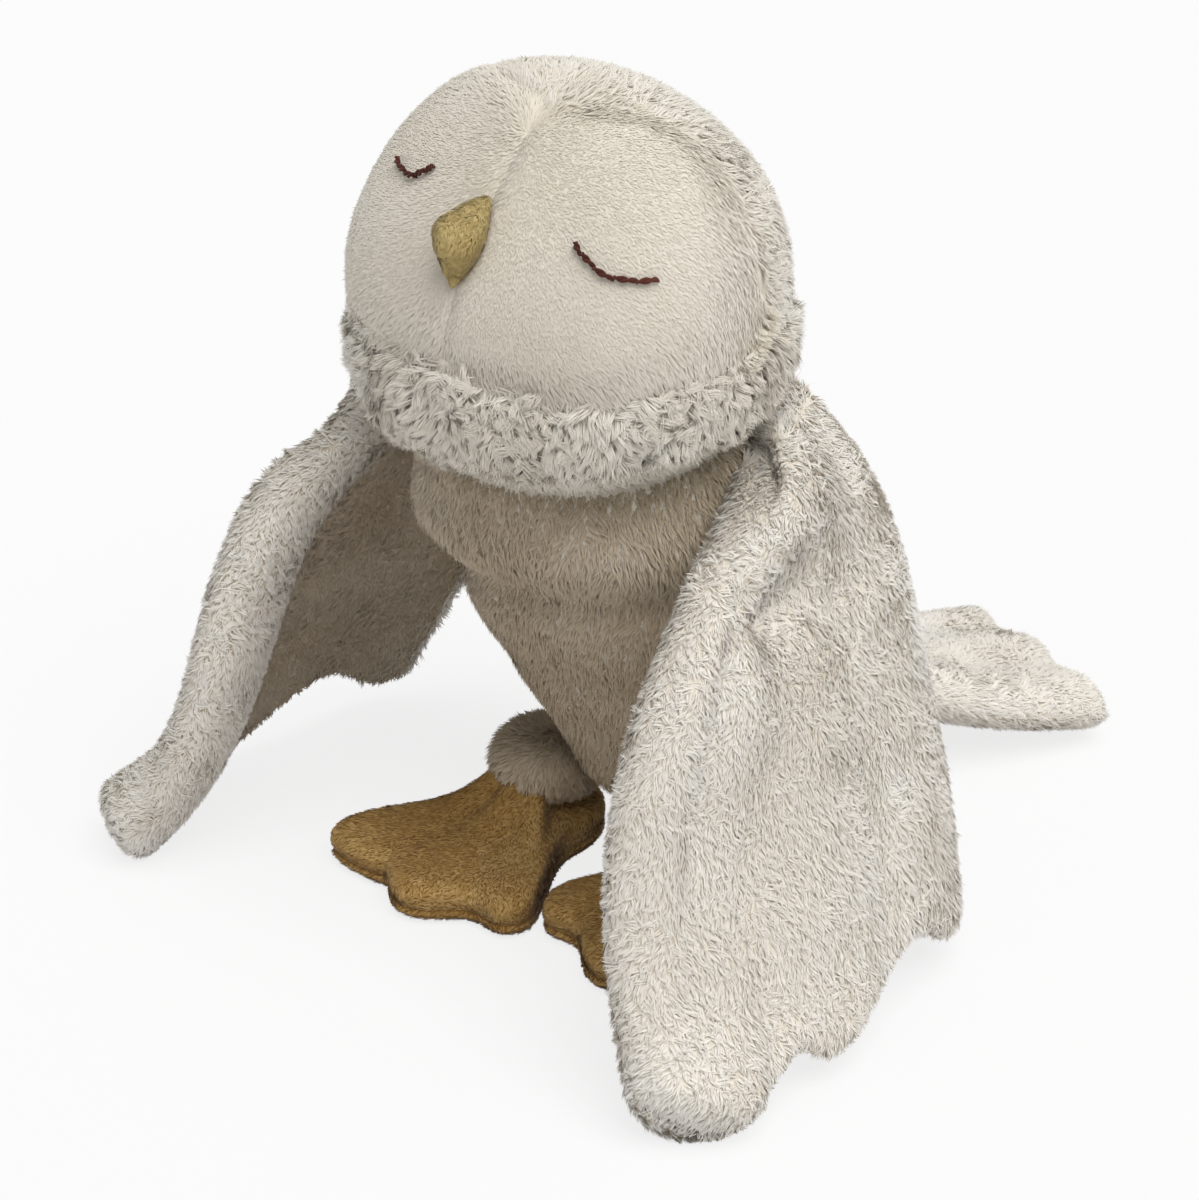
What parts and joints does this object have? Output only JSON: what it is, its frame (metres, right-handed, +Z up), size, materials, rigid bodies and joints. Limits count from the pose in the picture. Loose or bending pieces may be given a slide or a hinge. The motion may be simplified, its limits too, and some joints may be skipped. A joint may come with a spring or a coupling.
{
  "type": "plush owl",
  "caption": "Sitting plush owl with a big hooded head, closed stitched eyes, a fluffy ruff, two propping wings, webbed velour feet and a flat tail.",
  "frame": {"origin": "on the floor, below the middle of the toy's bounding box", "axes": "+Z up, the owl looks along -Y, its left wing is on the +X side and its tail points along +Y"},
  "size_m": [0.2684, 0.3079, 0.2651],
  "materials": {
    "head_plush": "warm cream knitted plush, 5 mm pile in soft clumps",
    "body_plush": "warm cream knitted plush, 5 mm pile in soft clumps",
    "belly_plush": "cream knitted plush, 4 mm pile brushed down in bands",
    "wing_plush": "pale cream knitted plush, 5 mm pile in soft clumps",
    "lining_plush": "cream short-pile plush, 2 mm",
    "face_velour": "cream short-pile velour, 2 mm, brushed outwards",
    "beak_velour": "olive-gold short velour",
    "foot_velour": "ochre-brown short velour with a brushed grain",
    "eye_thread": "dark red-brown embroidery thread",
    "wadding": "white polyester wadding"
  },
  "bodies": {
    "torso": {"back_panel": "body_plush", "belly_panel": "belly_plush", "body_filling": "wadding", "cuff_left": "belly_plush", "cuff_right": "belly_plush"},
    "head": {"hood": "head_plush", "face_left": "face_velour", "face_right": "face_velour", "beak": "beak_velour", "eye_left": "eye_thread", "eye_right": "eye_thread", "ruff": "head_plush", "head_filling": "wadding"},
    "wing_left": {"wing_left_outer": "wing_plush", "wing_left_lining": "lining_plush", "wing_left_filling": "wadding"},
    "wing_right": {"wing_right_outer": "wing_plush", "wing_right_lining": "lining_plush", "wing_right_filling": "wadding"},
    "foot_left": {"foot_left_upper": "foot_velour", "foot_left_sole": "foot_velour", "foot_left_filling": "wadding"},
    "foot_right": {"foot_right_upper": "foot_velour", "foot_right_sole": "foot_velour", "foot_right_filling": "wadding"},
    "tail": {"tail_upper": "wing_plush", "tail_under": "lining_plush", "tail_filling": "wadding"}
  },
  "joints": [
    {"name": "head_turn", "type": "hinge", "parent": "torso", "child": "head", "pos_m": [0, -0.0444, 0.172], "axis": [0, 0, 1], "range_deg": [-12, 12]},
    {"name": "wing_left_lift", "type": "hinge", "parent": "torso", "child": "wing_left", "pos_m": [0.0505, -0.0344, 0.1635], "axis": [0.1392, -0.9903, 0], "range_deg": [0, 40]},
    {"name": "wing_right_lift", "type": "hinge", "parent": "torso", "child": "wing_right", "pos_m": [-0.0505, -0.0344, 0.1635], "axis": [0.1392, 0.9903, 0], "range_deg": [0, 40]},
    {"name": "foot_left_flex", "type": "hinge", "parent": "torso", "child": "foot_left", "pos_m": [0.0507, -0.0334, 0.03], "axis": [1, 0, 0], "range_deg": [-25, 25]},
    {"name": "foot_right_flex", "type": "hinge", "parent": "torso", "child": "foot_right", "pos_m": [-0.0207, -0.0434, 0.03], "axis": [1, 0, 0], "range_deg": [-25, 25]},
    {"name": "tail_lift", "type": "hinge", "parent": "torso", "child": "tail", "pos_m": [0.008, 0.0216, 0.072], "axis": [0.9472, -0.3206, 0], "range_deg": [0, 30]}
  ]
}
